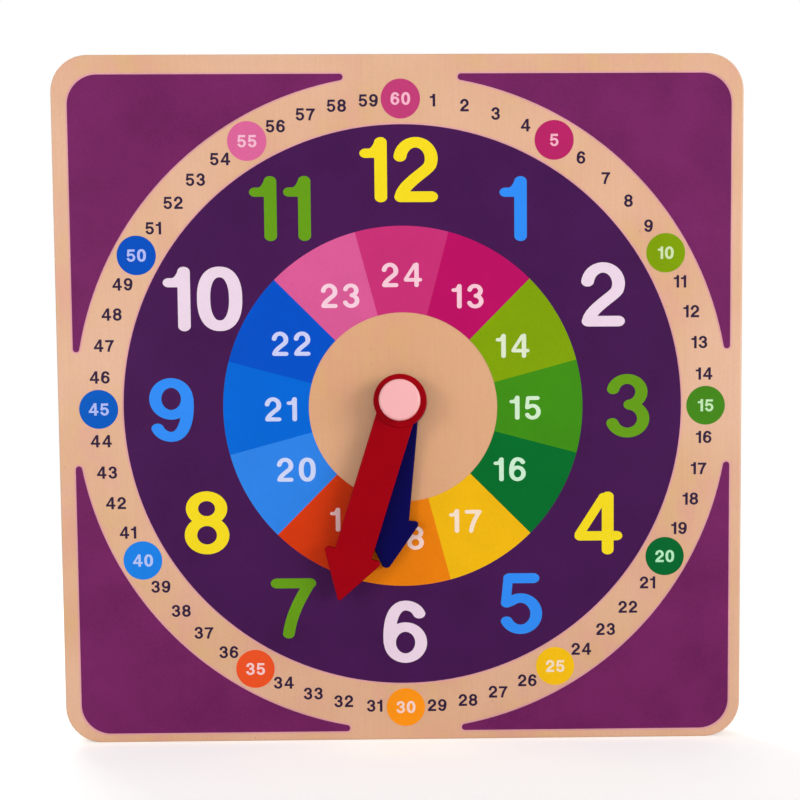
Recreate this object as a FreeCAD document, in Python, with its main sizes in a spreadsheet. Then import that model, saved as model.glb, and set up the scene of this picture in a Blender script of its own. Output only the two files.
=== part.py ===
import FreeCAD, Part
import math
import os
import Sketcher

# A geared teaching clock: a square plywood dial with a red minute hand and a blue hour hand. A
# 12 to 1 gear train lies in a recess in the back of the board, under a flush cover.
#
# Frame: X to the right of the dial, Z up to the 12, and the dial faces -Y. The back of the board
# lies in the plane Y = 0, and the hands turn about the Y axis. A depth is counted forward from the
# back, along -Y. Lengths are in millimetres. Angles are in degrees, clockwise from the 12.

DIMENSIONS = {
    # the board
    "board_side": 300.0,
    "corner_radius": 16.0,
    "board_arris": 1.0,
    "front_wall": 3.5,
    "recess_clearance": 2.3,
    "ledge_width": 8.0,
    # the clearances: radial between turning pieces, radial between pieces pushed together, and
    # along the axis between turning pieces
    "running_clearance": 0.05,
    "push_clearance": 0.02,
    "running_gap": 0.2,
    # the cover over the gears, and its screws
    "cover_thickness": 2.0,
    "cover_gap": 0.2,
    "pivot_depth": 1.3,
    "screw_head_diameter": 4.4,
    "screw_shank_diameter": 2.2,
    "screw_length": 8.0,
    "screw_point": 1.6,
    "screw_tip_diameter": 0.4,
    "screw_bearing": 45.0,
    "drive_length": 2.6,
    "drive_width": 0.6,
    "drive_depth": 0.7,
    # the gear train
    "centre_distance": 30.0,
    "minute_pinion_teeth": 12.0,
    "idler_wheel_teeth": 36.0,
    "idler_pinion_teeth": 12.0,
    "hour_wheel_teeth": 48.0,
    "pressure_angle": 20.0,
    "profile_shift": 0.29,
    "addendum": 1.0,
    "dedendum": 1.25,
    "backlash": 0.24,
    "idler_wheel_thickness": 2.2,
    "hour_wheel_thickness": 2.2,
    "wheel_holes": 6.0,
    "web_wall": 2.5,
    "idler_hub_diameter": 8.0,
    # what the gears turn on
    "arbor_diameter": 6.0,
    "pivot_diameter": 4.0,
    "pipe_wall": 1.4,
    "bush_wall": 1.5,
    "bush_flange_diameter": 18.0,
    "bush_flange": 0.8,
    "stud_diameter": 4.0,
    "stud_flange_diameter": 8.0,
    "stud_flange": 0.3,
    "stud_seat": 2.5,
    # the washers and the spring
    "idler_washer": 0.5,
    "idler_washer_diameter": 8.0,
    "spring_diameter": 10.0,
    "spring_height": 0.8,
    "spring_thickness": 0.3,
    "pinion_washer": 0.4,
    "pinion_washer_diameter": 10.0,
    "hour_washer": 0.3,
    "hour_washer_diameter": 14.0,
    "front_washer": 0.5,
    "front_washer_diameter": 20.0,
    "hand_spacer": 1.0,
    "hand_spacer_diameter": 14.0,
    # the hands: reaches are from the hub to the arrow head's corners before they are rounded
    "hand_width": 16.4,
    "hand_thickness": 3.0,
    "hand_edge_radius": 0.5,
    "boss_diameter": 22.8,
    "boss_height": 0.8,
    "head_width": 26.9,
    "barb_radius": 1.5,
    "minute_barb_reach": 68.6,
    "minute_tip_reach": 90.5,
    "minute_tip_radius": 1.0,
    "minute_rest_angle": 197.6,
    "hour_barb_reach": 51.3,
    "hour_tip_reach": 75.0,
    "hour_tip_radius": 2.2,
    "hour_rest_angle": 185.6,
    "hand_bush_wall": 1.5,
    # the hub's front end
    "pipe_stand": 0.2,
    "square_flats": 4.2,
    "square_relief": 0.3,
    "thread_diameter": 4.0,
    "thread_stand": 0.3,
    "nut_flats": 7.0,
    "nut_thickness": 2.2,
    "cap_diameter": 17.4,
    "cap_height": 5.5,
    "cap_edge_radius": 1.2,
}

doc = FreeCAD.newDocument("teaching_clock")
sheet = doc.addObject("Spreadsheet::Sheet", "dims")
for row, (alias, number) in enumerate(DIMENSIONS.items(), start=1):
    sheet.set("A%d" % row, alias)
    sheet.set("B%d" % row, str(number))
    sheet.setAlias("B%d" % row, alias)
doc.recompute()


def value(expression):
    return float(sheet.evalExpression(expression))


# Diameters round the hub, from the arbor outwards.
PIPE_BORE = "(dims.arbor_diameter + 2 * dims.running_clearance)"
PIPE = "(%s + 2 * dims.pipe_wall)" % PIPE_BORE
PIPE_FIT = "(%s + 2 * dims.running_clearance)" % PIPE
BUSH = "(%s + 2 * dims.bush_wall)" % PIPE_FIT
HAND_BUSH = "(%s + 2 * dims.hand_bush_wall)" % PIPE_FIT

# Holes for what is pushed in and stays.
PIPE_SEAT = "(%s + 2 * dims.push_clearance)" % PIPE
BUSH_SEAT = "(%s + 2 * dims.push_clearance)" % BUSH
HAND_BUSH_SEAT = "(%s + 2 * dims.push_clearance)" % HAND_BUSH
ARBOR_SEAT = "(dims.arbor_diameter + 2 * dims.push_clearance)"
THREAD_SEAT = "(dims.thread_diameter + 2 * dims.push_clearance)"
STUD_SEAT = "(dims.stud_diameter + 2 * dims.push_clearance)"
SCREW_SEAT = "(dims.screw_shank_diameter + 2 * dims.push_clearance)"
NUT_CORNERS = "(dims.nut_flats / cos(30 deg))"
NUT_SEAT = "(%s + 2 * dims.push_clearance)" % NUT_CORNERS

# The gear train: both pairs share one centre distance, which gives each its module. The pinions
# are shifted outwards and the wheels inwards by the same amount, so that the distance stays.
FIRST_MODULE = "(2 * dims.centre_distance / (dims.minute_pinion_teeth + dims.idler_wheel_teeth))"
SECOND_MODULE = "(2 * dims.centre_distance / (dims.idler_pinion_teeth + dims.hour_wheel_teeth))"


def tip_radius(teeth, module, shift):
    return "(%s * (%s / 2 + dims.addendum + %s))" % (module, teeth, shift)


def root_radius(teeth, module, shift):
    return "(%s * (%s / 2 - dims.dedendum + %s))" % (module, teeth, shift)


OUTWARDS = "dims.profile_shift"
INWARDS = "(-dims.profile_shift)"
IDLER_WHEEL_TIP = tip_radius("dims.idler_wheel_teeth", FIRST_MODULE, INWARDS)
IDLER_WHEEL_ROOT = root_radius("dims.idler_wheel_teeth", FIRST_MODULE, INWARDS)
IDLER_PINION_TIP = tip_radius("dims.idler_pinion_teeth", SECOND_MODULE, OUTWARDS)
HOUR_WHEEL_TIP = tip_radius("dims.hour_wheel_teeth", SECOND_MODULE, INWARDS)
HOUR_WHEEL_ROOT = root_radius("dims.hour_wheel_teeth", SECOND_MODULE, INWARDS)

# Depths of the faces, from the back of the board forwards.
PIVOT_FLOOR = "(dims.cover_thickness - dims.pivot_depth)"
PIVOT_END = "(%s + dims.running_gap)" % PIVOT_FLOOR
WHEEL_BACK = "(dims.cover_thickness + dims.spring_height + dims.running_gap)"
WHEEL_FRONT = "(%s + dims.idler_wheel_thickness)" % WHEEL_BACK
HOUR_WHEEL_BACK = "(%s + dims.pinion_washer + dims.running_gap)" % WHEEL_FRONT
HOUR_WHEEL_FRONT = "(%s + dims.hour_wheel_thickness)" % HOUR_WHEEL_BACK
RECESS_FLOOR = "(%s + dims.hour_washer + dims.running_gap)" % HOUR_WHEEL_FRONT
BOARD_FRONT = "(%s + dims.front_wall)" % RECESS_FLOOR
IDLER_BACK = "(dims.cover_thickness + dims.idler_washer + dims.running_gap)"
STUD_FLANGE_BACK = "(%s - dims.stud_flange)" % RECESS_FLOOR
STUD_FRONT = "(%s + dims.stud_seat)" % RECESS_FLOOR
IDLER_FRONT = "(%s - dims.running_gap)" % STUD_FLANGE_BACK
BUSH_FRONT = "(%s + dims.bush_flange)" % BOARD_FRONT
HOUR_HAND_BACK = "(%s + dims.front_washer + dims.running_gap)" % BUSH_FRONT
HOUR_BOSS_FRONT = "(%s + dims.hand_thickness + dims.boss_height)" % HOUR_HAND_BACK
PIPE_FRONT = "(%s + dims.pipe_stand)" % HOUR_BOSS_FRONT
SPACER_BACK = "(%s + dims.running_gap)" % PIPE_FRONT
MINUTE_HAND_BACK = "(%s + dims.hand_spacer)" % SPACER_BACK
BOSS_FRONT = "(%s + dims.hand_thickness + dims.boss_height)" % MINUTE_HAND_BACK
SQUARE_FRONT = "(%s - dims.square_relief)" % BOSS_FRONT
NUT_FRONT = "(%s + dims.nut_thickness)" % BOSS_FRONT
THREAD_FRONT = "(%s + dims.thread_stand)" % NUT_FRONT

# The recess and the cover have the outline of a slot: half rounds about the hub and the stud.
RECESS_RADIUS = "(max(%s; %s) + dims.recess_clearance)" % (HOUR_WHEEL_TIP, IDLER_WHEEL_TIP)
LEDGE_RADIUS = "(%s + dims.ledge_width)" % RECESS_RADIUS
SCREW_RADIUS = "(%s + dims.ledge_width / 2)" % RECESS_RADIUS
SCREW_HEAD_HEIGHT = "((dims.screw_head_diameter - dims.screw_shank_diameter) / 2)"
SCREW_SIDEWAYS = "%s * sin(dims.screw_bearing * 1 deg)" % SCREW_RADIUS
SCREW_ONWARDS = "%s * cos(dims.screw_bearing * 1 deg)" % SCREW_RADIUS
SCREW_PLACES = {
    "low_right": (SCREW_SIDEWAYS, "-" + SCREW_ONWARDS),
    "low_left": ("-" + SCREW_SIDEWAYS, "-" + SCREW_ONWARDS),
    "high_right": (SCREW_SIDEWAYS, "dims.centre_distance + " + SCREW_ONWARDS),
    "high_left": ("-" + SCREW_SIDEWAYS, "dims.centre_distance + " + SCREW_ONWARDS),
}

# How Sketcher counts the points of an edge, upwards, and the axes of a sketch, downwards.
START, END, CENTRE = range(1, 4)
ACROSS, UPWARDS = range(-1, -3, -1)
ORIGIN = FreeCAD.Vector(0, 0, 0)
NORMAL = FreeCAD.Vector(0, 0, 1)


def new_body(name):
    body = doc.addObject("PartDesign::Body", name)
    body.Label = name
    return body


def origin_feature(body, role):
    """One of the body's own planes or axes, by its role."""
    found = [feature for feature in body.Origin.OriginFeatures if feature.Role == role]
    return found[0]


def turn(body, angle):
    """Turn a body clockwise about its own axis."""
    body.Placement = FreeCAD.Placement(ORIGIN, FreeCAD.Rotation(FreeCAD.Vector(0, 1, 0), 1))
    body.setExpression("Placement.Rotation.Angle", angle)


def new_sketch(body, name, depth, right="0", up="0"):
    """An empty sketch parallel to the dial, at a depth and with its origin right and up."""
    sketch = body.newObject("Sketcher::SketchObject", name)
    sketch.AttachmentSupport = [(origin_feature(body, "XZ_Plane"), "")]
    sketch.MapMode = "FlatFace"
    sketch.setExpression("AttachmentOffset.Base.x", right)
    sketch.setExpression("AttachmentOffset.Base.y", up)
    sketch.setExpression("AttachmentOffset.Base.z", depth)
    return sketch


def constrain(sketch, kind, *places):
    return sketch.addConstraint(Sketcher.Constraint(kind, *places))


def drive(sketch, name, expression, kind, *places):
    """A dimension of the sketch that follows the sheet."""
    index = constrain(sketch, kind, *places, value(expression))
    sketch.renameConstraint(index, name)
    sketch.setExpression("Constraints." + name, expression)


def add_circle(sketch, name, diameter):
    circle = sketch.addGeometry(Part.Circle(ORIGIN, NORMAL, value(diameter) / 2))
    constrain(sketch, "Coincident", circle, CENTRE, ACROSS, START)
    drive(sketch, name, diameter, "Diameter", circle)


def add_chain(sketch, points):
    """Closed straight edges through the points."""
    ends = points[1:] + points[:1]
    lines = [
        sketch.addGeometry(Part.LineSegment(FreeCAD.Vector(*here, 0), FreeCAD.Vector(*there, 0)))
        for here, there in zip(points, ends)
    ]
    for line, following in zip(lines, lines[1:] + lines[:1]):
        constrain(sketch, "Coincident", line, END, following, START)
    return lines


def add_regular_polygon(sketch, corners, flats):
    """A regular polygon with a corner on the sketch's horizontal axis."""
    corner_circle = "%s / cos(%s deg)" % (flats, 180 / corners)
    radius = value(corner_circle) / 2
    turns = [2 * math.pi * corner / corners for corner in range(corners)]
    lines = add_chain(sketch, [(radius * math.cos(t), radius * math.sin(t)) for t in turns])
    circle = sketch.addGeometry(Part.Circle(ORIGIN, NORMAL, radius), True)
    constrain(sketch, "Coincident", circle, CENTRE, ACROSS, START)
    drive(sketch, "corner_circle", corner_circle, "Diameter", circle)
    constrain(sketch, "PointOnObject", lines[0], START, ACROSS)
    for line in lines:
        constrain(sketch, "PointOnObject", line, START, circle)
    for line in lines[1:]:
        constrain(sketch, "Equal", lines[0], line)


def add_slot(sketch, radius, spacing):
    """Half rounds about the origin and a point above it, joined by two upright edges."""
    r = value(radius)
    rise = value(spacing)
    upper = FreeCAD.Vector(0, rise, 0)
    low = sketch.addGeometry(Part.ArcOfCircle(Part.Circle(ORIGIN, NORMAL, r), math.pi, 2 * math.pi))
    high = sketch.addGeometry(Part.ArcOfCircle(Part.Circle(upper, NORMAL, r), 0, math.pi))
    right = sketch.addGeometry(
        Part.LineSegment(FreeCAD.Vector(r, 0, 0), FreeCAD.Vector(r, rise, 0)))
    left = sketch.addGeometry(
        Part.LineSegment(FreeCAD.Vector(-r, rise, 0), FreeCAD.Vector(-r, 0, 0)))
    for edge, following in ((low, right), (right, high), (high, left), (left, low)):
        constrain(sketch, "Tangent", edge, END, following, START)
    constrain(sketch, "Equal", low, high)
    constrain(sketch, "Coincident", low, CENTRE, ACROSS, START)
    constrain(sketch, "PointOnObject", high, CENTRE, UPWARDS)
    drive(sketch, "end_radius", radius, "Radius", low)
    drive(sketch, "rise", spacing, "DistanceY", ACROSS, START, high, CENTRE)


def pad(body, sketch, length):
    feature = body.newObject("PartDesign::Pad", sketch.Name + "_pad")
    feature.Profile = sketch
    feature.setExpression("Length", length)
    return feature


def pocket(body, sketch, length):
    """A cut from the sketch forwards, refused if it removes nothing."""
    doc.recompute()
    before = body.Shape.Volume
    feature = body.newObject("PartDesign::Pocket", sketch.Name + "_pocket")
    feature.Profile = sketch
    feature.Reversed = True
    feature.setExpression("Length", length)
    doc.recompute()
    if body.Shape.Volume >= before:
        raise RuntimeError("%s cuts nothing" % feature.Name)
    return feature


def disc(body, name, diameter, back, front):
    sketch = new_sketch(body, name, back)
    add_circle(sketch, "diameter", diameter)
    return pad(body, sketch, "%s - %s" % (front, back))


def hole(body, name, diameter, back, front, right="0", up="0"):
    sketch = new_sketch(body, name, back, right, up)
    add_circle(sketch, "diameter", diameter)
    return pocket(body, sketch, "%s - %s" % (front, back))


def round_edges(body, name, radius, wanted):
    """A fillet on each edge of the body that the test wants."""
    doc.recompute()
    base = body.Tip
    names = ["Edge%d" % n for n, edge in enumerate(base.Shape.Edges, start=1) if wanted(edge)]
    fillet = body.newObject("PartDesign::Fillet", name)
    fillet.Base = (base, names)
    fillet.setExpression("Radius", radius)
    return fillet


def runs_through(edge):
    """Whether an edge is straight and runs from back to front."""
    corners = [vertex.Point for vertex in edge.Vertexes]
    if len(corners) != 2:
        return False
    return math.hypot(corners[1].x - corners[0].x, corners[1].z - corners[0].z) < 1e-6


def lies_at(edge, depth):
    return abs(edge.BoundBox.YMin + depth) < 1e-4 and abs(edge.BoundBox.YMax + depth) < 1e-4


def edge_reach(edge):
    """The largest distance from the hub's axis to the ends and the middle of an edge."""
    middle = edge.valueAt((edge.FirstParameter + edge.LastParameter) / 2)
    return max(math.hypot(p.x, p.z) for p in [middle] + [v.Point for v in edge.Vertexes])


def ring(name, outer, inner, back, front):
    """A washer or spacer: one disc with one bore."""
    body = new_body(name)
    sketch = new_sketch(body, name + "_section", back)
    add_circle(sketch, "outer", outer)
    add_circle(sketch, "inner", inner)
    pad(body, sketch, "%s - %s" % (front, back))
    return body


# The board and what is fixed to it.

def make_dial_board():
    body = new_body("dial_board")
    outline = new_sketch(body, "outline", "0")
    half = value("dims.board_side") / 2
    low, right, high, left = add_chain(outline, [(-half, -half), (half, -half), (half, half), (-half, half)])
    constrain(outline, "Horizontal", low)
    constrain(outline, "Vertical", right)
    constrain(outline, "Horizontal", high)
    constrain(outline, "Symmetric", low, START, high, START, ACROSS, START)
    drive(outline, "width", "dims.board_side", "DistanceX", low, START, low, END)
    drive(outline, "height", "dims.board_side", "DistanceY", right, START, right, END)
    pad(body, outline, BOARD_FRONT)
    round_edges(body, "corners", "dims.corner_radius", runs_through)
    front = value(BOARD_FRONT)
    round_edges(body, "arris", "dims.board_arris", lambda e: lies_at(e, 0) or lies_at(e, front))

    ledge = new_sketch(body, "ledge", "0")
    add_slot(ledge, LEDGE_RADIUS, "dims.centre_distance")
    pocket(body, ledge, "dims.cover_thickness")
    recess = new_sketch(body, "recess", "0")
    add_slot(recess, RECESS_RADIUS, "dims.centre_distance")
    pocket(body, recess, RECESS_FLOOR)

    hole(body, "bush_hole", BUSH_SEAT, RECESS_FLOOR, BOARD_FRONT)
    hole(body, "stud_hole", STUD_SEAT, RECESS_FLOOR, STUD_FRONT, up="dims.centre_distance")
    pilot_end = "dims.screw_length + dims.running_gap"
    for place, spot in SCREW_PLACES.items():
        hole(body, "pilot_" + place, SCREW_SEAT, "dims.cover_thickness", pilot_end, *spot)
    return body


def make_centre_bush():
    body = new_body("centre_bush")
    disc(body, "barrel", BUSH, RECESS_FLOOR, BUSH_FRONT)
    disc(body, "flange", "dims.bush_flange_diameter", BOARD_FRONT, BUSH_FRONT)
    hole(body, "pipe_bore", PIPE_FIT, RECESS_FLOOR, BUSH_FRONT)
    return body


def make_gear_cover():
    body = new_body("gear_cover")
    plate = new_sketch(body, "plate", "0")
    add_slot(plate, "%s - dims.cover_gap" % LEDGE_RADIUS, "dims.centre_distance")
    pad(body, plate, "dims.cover_thickness")
    pivot_hole = "dims.pivot_diameter + 2 * dims.running_clearance"
    hole(body, "pivot_hole", pivot_hole, PIVOT_FLOOR, "dims.cover_thickness")
    hole(body, "stud_hole", STUD_SEAT, PIVOT_FLOOR, "dims.cover_thickness", up="dims.centre_distance")
    for place, (right_of, above) in SCREW_PLACES.items():
        hole(body, "shank_" + place, SCREW_SEAT, "0", "dims.cover_thickness", right_of, above)
        countersink = body.newObject("PartDesign::SubtractiveCone", "countersink_" + place)
        countersink.AttachmentSupport = [(origin_feature(body, "XZ_Plane"), "")]
        countersink.MapMode = "FlatFace"
        countersink.setExpression("AttachmentOffset.Base.x", right_of)
        countersink.setExpression("AttachmentOffset.Base.y", above)
        countersink.setExpression("Radius1", "dims.screw_head_diameter / 2 + dims.push_clearance")
        countersink.setExpression("Radius2", "dims.screw_shank_diameter / 2 + dims.push_clearance")
        countersink.setExpression("Height", SCREW_HEAD_HEIGHT)
    return body


def make_screw(place, right_of, above):
    """A countersunk screw with a cross recess, its axis along its own Z."""
    head = doc.addObject("Part::Cone", "head_" + place)
    head.setExpression("Radius1", "dims.screw_head_diameter / 2")
    head.setExpression("Radius2", "dims.screw_shank_diameter / 2")
    head.setExpression("Height", SCREW_HEAD_HEIGHT)
    shank = doc.addObject("Part::Cylinder", "shank_of_" + place)
    shank.setExpression("Radius", "dims.screw_shank_diameter / 2")
    shank.setExpression("Height", "dims.screw_length - dims.screw_point")
    point = doc.addObject("Part::Cone", "point_" + place)
    point.setExpression("Radius1", "dims.screw_shank_diameter / 2")
    point.setExpression("Radius2", "dims.screw_tip_diameter / 2")
    point.setExpression("Height", "dims.screw_point")
    point.setExpression("Placement.Base.z", "dims.screw_length - dims.screw_point")
    blank = doc.addObject("Part::MultiFuse", "blank_" + place)
    blank.Shapes = [head, shank, point]
    blades = []
    for blade_name, long_side, short_side in (("bar", "Length", "Width"), ("post", "Width", "Length")):
        blade = doc.addObject("Part::Box", blade_name + "_" + place)
        blade.setExpression(long_side, "dims.drive_length")
        blade.setExpression(short_side, "dims.drive_width")
        blade.setExpression("Height", "dims.drive_depth")
        blade.setExpression("Placement.Base.x", "-Length / 2")
        blade.setExpression("Placement.Base.y", "-Width / 2")
        blades.append(blade)
    drive_recess = doc.addObject("Part::MultiFuse", "drive_" + place)
    drive_recess.Shapes = blades
    screw = doc.addObject("Part::Cut", "screw_" + place)
    screw.Base = blank
    screw.Tool = drive_recess
    screw.Placement = FreeCAD.Placement(ORIGIN, FreeCAD.Rotation(FreeCAD.Vector(1, 0, 0), 90))
    screw.setExpression("Placement.Base.x", right_of)
    screw.setExpression("Placement.Base.z", above)
    return screw


def make_cover_screws():
    group = doc.addObject("Part::Compound", "cover_screws")
    group.Links = [make_screw(place, *spot) for place, spot in SCREW_PLACES.items()]
    return group


def make_idler_stud():
    body = new_body("idler_stud")
    body.setExpression("Placement.Base.z", "dims.centre_distance")
    disc(body, "stud", "dims.stud_diameter", PIVOT_END, STUD_FRONT)
    disc(body, "stud_rim", "dims.stud_flange_diameter", STUD_FLANGE_BACK, RECESS_FLOOR)
    return body


def make_friction_spring():
    """A dished washer: a cone with the same cone, set back by its thickness, cut away."""
    rotation = FreeCAD.Rotation(FreeCAD.Vector(1, 0, 0), 90)
    bore_radius = "dims.pivot_diameter / 2 + dims.running_clearance"
    cones = []
    for cone_name, back in (
            ("dish", "dims.cover_thickness"),
            ("hollow", "dims.cover_thickness - dims.spring_thickness")):
        cone = doc.addObject("Part::Cone", cone_name)
        cone.Placement = FreeCAD.Placement(ORIGIN, rotation)
        cone.setExpression("Radius1", "dims.spring_diameter / 2")
        cone.setExpression("Radius2", bore_radius)
        cone.setExpression("Height", "dims.spring_height")
        cone.setExpression("Placement.Base.y", "-(%s)" % back)
        cones.append(cone)
    skin = doc.addObject("Part::Cut", "skin")
    skin.Base, skin.Tool = cones
    bore = doc.addObject("Part::Cylinder", "spring_bore")
    bore.Placement = FreeCAD.Placement(ORIGIN, rotation)
    bore.setExpression("Radius", bore_radius)
    bore.setExpression("Height", "dims.cover_thickness + dims.spring_height")
    spring = doc.addObject("Part::Cut", "friction_spring")
    spring.Base = skin
    spring.Tool = bore
    return spring


# The gears: each is a toothed blank, cut and bored as the base of its own body.

def involute(angle):
    return math.tan(angle) - angle


def gear_face(teeth, module, shift):
    """A flat face with a spur gear's outline, and a tooth on the Z axis."""
    alpha = math.radians(value("dims.pressure_angle"))
    pitch = module * teeth / 2
    base = pitch * math.cos(alpha)
    tip = module * (teeth / 2 + value("dims.addendum") + shift)
    root = module * (teeth / 2 - value("dims.dedendum") + shift)
    thickness = module * (math.pi / 2 + 2 * shift * math.tan(alpha)) - value("dims.backlash") / 2
    flank = max(base, root)
    middle = (flank + tip) / 2

    def half_angle(radius):
        pressure = math.acos(min(1.0, base / radius))
        return thickness / (2 * pitch) + involute(alpha) - involute(pressure)

    def point(radius, angle):
        return FreeCAD.Vector(radius * math.sin(angle), 0, radius * math.cos(angle))

    edges = []
    for tooth in range(teeth):
        centre = 2 * math.pi * tooth / teeth
        for side in (-1, 1):
            toe = point(flank, centre + side * half_angle(flank))
            belly = point(middle, centre + side * half_angle(middle))
            top = point(tip, centre + side * half_angle(tip))
            edges.append(Part.Arc(toe, belly, top).toShape())
            if flank - root > 1e-6:
                foot = point(root, centre + side * half_angle(flank))
                edges.append(Part.LineSegment(foot, toe).toShape())
        land = [point(tip, centre + side * half_angle(tip)) for side in (-1, 1)]
        edges.append(Part.Arc(land[0], point(tip, centre), land[1]).toShape())
        gap = centre + math.pi / teeth
        gap_half = math.pi / teeth - half_angle(flank)
        edges.append(
            Part.Arc(point(root, gap - gap_half), point(root, gap), point(root, gap + gap_half)).toShape())
    return Part.Face(Part.Wire(Part.__sortEdges__(edges)))


def gear_blank(name, teeth, module, shift, back, front):
    profile = doc.addObject("Part::Feature", name + "_profile")
    profile.Shape = gear_face(round(value(teeth)), value(module), value(shift))
    profile.setExpression("Placement.Base.y", "-(%s)" % back)
    blank = doc.addObject("Part::Extrusion", name + "_blank")
    blank.Base = profile
    blank.DirMode = "Custom"
    blank.Dir = FreeCAD.Vector(0, -1, 0)
    blank.Solid = True
    blank.setExpression("LengthFwd", "%s - %s" % (front, back))
    return blank


def gear_body(name, blank, phase, up="0"):
    """A body on a toothed blank, turned by its phase about its own axis."""
    body = new_body(name)
    turn(body, phase)
    body.setExpression("Placement.Base.z", up)
    body.BaseFeature = blank
    return body


def web_holes(body, inner_radius, outer_radius, back, front):
    """A ring of round holes that lightens a wheel between its hub and its teeth."""
    middle = "((%s + %s) / 2)" % (inner_radius, outer_radius)
    diameter = "%s - %s - 2 * dims.web_wall" % (outer_radius, inner_radius)
    first = hole(body, "web_hole", diameter, back, front, up=middle)
    ring_of_holes = body.newObject("PartDesign::PolarPattern", "web_holes")
    ring_of_holes.Originals = [first]
    ring_of_holes.Axis = (origin_feature(body, "Y_Axis"), [""])
    ring_of_holes.Angle = 360
    ring_of_holes.setExpression("Occurrences", "dims.wheel_holes")
    body.Tip = ring_of_holes


# In mesh at rest, each pinion points a tooth at the wheel's axis and each wheel turns a gap to it.

def make_minute_pinion():
    blank = gear_blank("minute_pinion", "dims.minute_pinion_teeth", FIRST_MODULE, OUTWARDS,
                       WHEEL_BACK, WHEEL_FRONT)
    body = gear_body("minute_pinion", blank, "0")
    hole(body, "pinion_bore", ARBOR_SEAT, WHEEL_BACK, WHEEL_FRONT)
    return body


def make_idler_gear():
    wheel = gear_blank("idler_wheel", "dims.idler_wheel_teeth", FIRST_MODULE, INWARDS,
                       WHEEL_BACK, WHEEL_FRONT)
    wheel.Placement.Rotation = FreeCAD.Rotation(
        FreeCAD.Vector(0, 1, 0), 180 + 180 / value("dims.idler_wheel_teeth"))
    pinion = gear_blank("idler_pinion", "dims.idler_pinion_teeth", SECOND_MODULE, OUTWARDS,
                        WHEEL_FRONT, IDLER_FRONT)
    pinion.Placement.Rotation = FreeCAD.Rotation(FreeCAD.Vector(0, 1, 0), 180)
    blank = doc.addObject("Part::MultiFuse", "idler_blank")
    blank.Shapes = [wheel, pinion]
    body = gear_body("idler_gear", blank, "0", up="dims.centre_distance")
    disc(body, "idler_hub", "dims.idler_hub_diameter", IDLER_BACK, WHEEL_BACK)
    web_holes(body, IDLER_PINION_TIP, IDLER_WHEEL_ROOT, WHEEL_BACK, WHEEL_FRONT)
    bore = "dims.stud_diameter + 2 * dims.running_clearance"
    hole(body, "stud_bore", bore, IDLER_BACK, IDLER_FRONT)
    return body


def make_hour_wheel():
    blank = gear_blank("hour_wheel", "dims.hour_wheel_teeth", SECOND_MODULE, INWARDS,
                       HOUR_WHEEL_BACK, HOUR_WHEEL_FRONT)
    body = gear_body("hour_wheel", blank, "180 / dims.hour_wheel_teeth")
    web_holes(body, "dims.hour_washer_diameter / 2", HOUR_WHEEL_ROOT, HOUR_WHEEL_BACK,
              HOUR_WHEEL_FRONT)
    disc(body, "pipe", PIPE, HOUR_WHEEL_BACK, PIPE_FRONT)
    hole(body, "pipe_bore", PIPE_BORE, HOUR_WHEEL_BACK, PIPE_FRONT)
    return body


# The hub and the hands.

def make_minute_arbor():
    """The shaft of the minute hand. Its square is turned as the hand's square hole is."""
    body = new_body("minute_arbor")
    turn(body, "dims.minute_rest_angle")
    disc(body, "pivot", "dims.pivot_diameter", PIVOT_END, WHEEL_BACK)
    disc(body, "shaft", "dims.arbor_diameter", WHEEL_BACK, MINUTE_HAND_BACK)
    square = new_sketch(body, "square", MINUTE_HAND_BACK)
    add_regular_polygon(square, 4, "dims.square_flats")
    pad(body, square, "%s - %s" % (SQUARE_FRONT, MINUTE_HAND_BACK))
    disc(body, "thread", "dims.thread_diameter", SQUARE_FRONT, THREAD_FRONT)
    return body


def make_hand(name, barb_reach, tip_reach, tip_rounding, angle, back, boss_front):
    """A hand that points at the 12 in its own frame, turned to its place at rest."""
    body = new_body(name)
    turn(body, angle)
    front = "(%s + dims.hand_thickness)" % back
    half_width = value("dims.hand_width") / 2
    half_head = value("dims.head_width") / 2
    barb = value(barb_reach)
    arrow = new_sketch(body, "arrow", back)
    corners = [
        (-half_width, 0), (half_width, 0), (half_width, barb), (half_head, barb),
        (0, value(tip_reach)), (-half_head, barb), (-half_width, barb),
    ]
    foot, right, right_barb, right_side, left_side, left_barb, left = add_chain(arrow, corners)
    constrain(arrow, "Symmetric", foot, START, foot, END, ACROSS, START)
    constrain(arrow, "Horizontal", foot)
    constrain(arrow, "Vertical", right)
    constrain(arrow, "Vertical", left)
    constrain(arrow, "Horizontal", right_barb)
    constrain(arrow, "Horizontal", left_barb)
    constrain(arrow, "Symmetric", right_barb, END, left_barb, START, UPWARDS)
    constrain(arrow, "PointOnObject", left_side, START, UPWARDS)
    drive(arrow, "width", "dims.hand_width", "DistanceX", foot, START, foot, END)
    drive(arrow, "head", "dims.head_width / 2", "DistanceX", ACROSS, START, right_barb, END)
    drive(arrow, "barb", barb_reach, "DistanceY", ACROSS, START, right, END)
    drive(arrow, "tip", tip_reach, "DistanceY", ACROSS, START, right_side, END)
    pad(body, arrow, "dims.hand_thickness")

    def at_tip(edge):
        return runs_through(edge) and abs(edge.Vertexes[0].Z - value(tip_reach)) < 1e-4

    def at_barb(edge):
        return runs_through(edge) and abs(abs(edge.Vertexes[0].X) - half_head) < 1e-4

    round_edges(body, "rounded_tip", tip_rounding, at_tip)
    round_edges(body, "rounded_barbs", "dims.barb_radius", at_barb)
    disc(body, "boss", "dims.boss_diameter", back, boss_front)
    boss_reach = value("dims.boss_diameter") / 2

    def at_front(edge):
        on_rim = lies_at(edge, value(boss_front)) and abs(edge_reach(edge) - boss_reach) < 1e-3
        on_arrow = lies_at(edge, value(front)) and edge_reach(edge) > boss_reach + 1e-3
        return on_rim or on_arrow

    round_edges(body, "softened_edge", "dims.hand_edge_radius", at_front)
    return body


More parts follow.
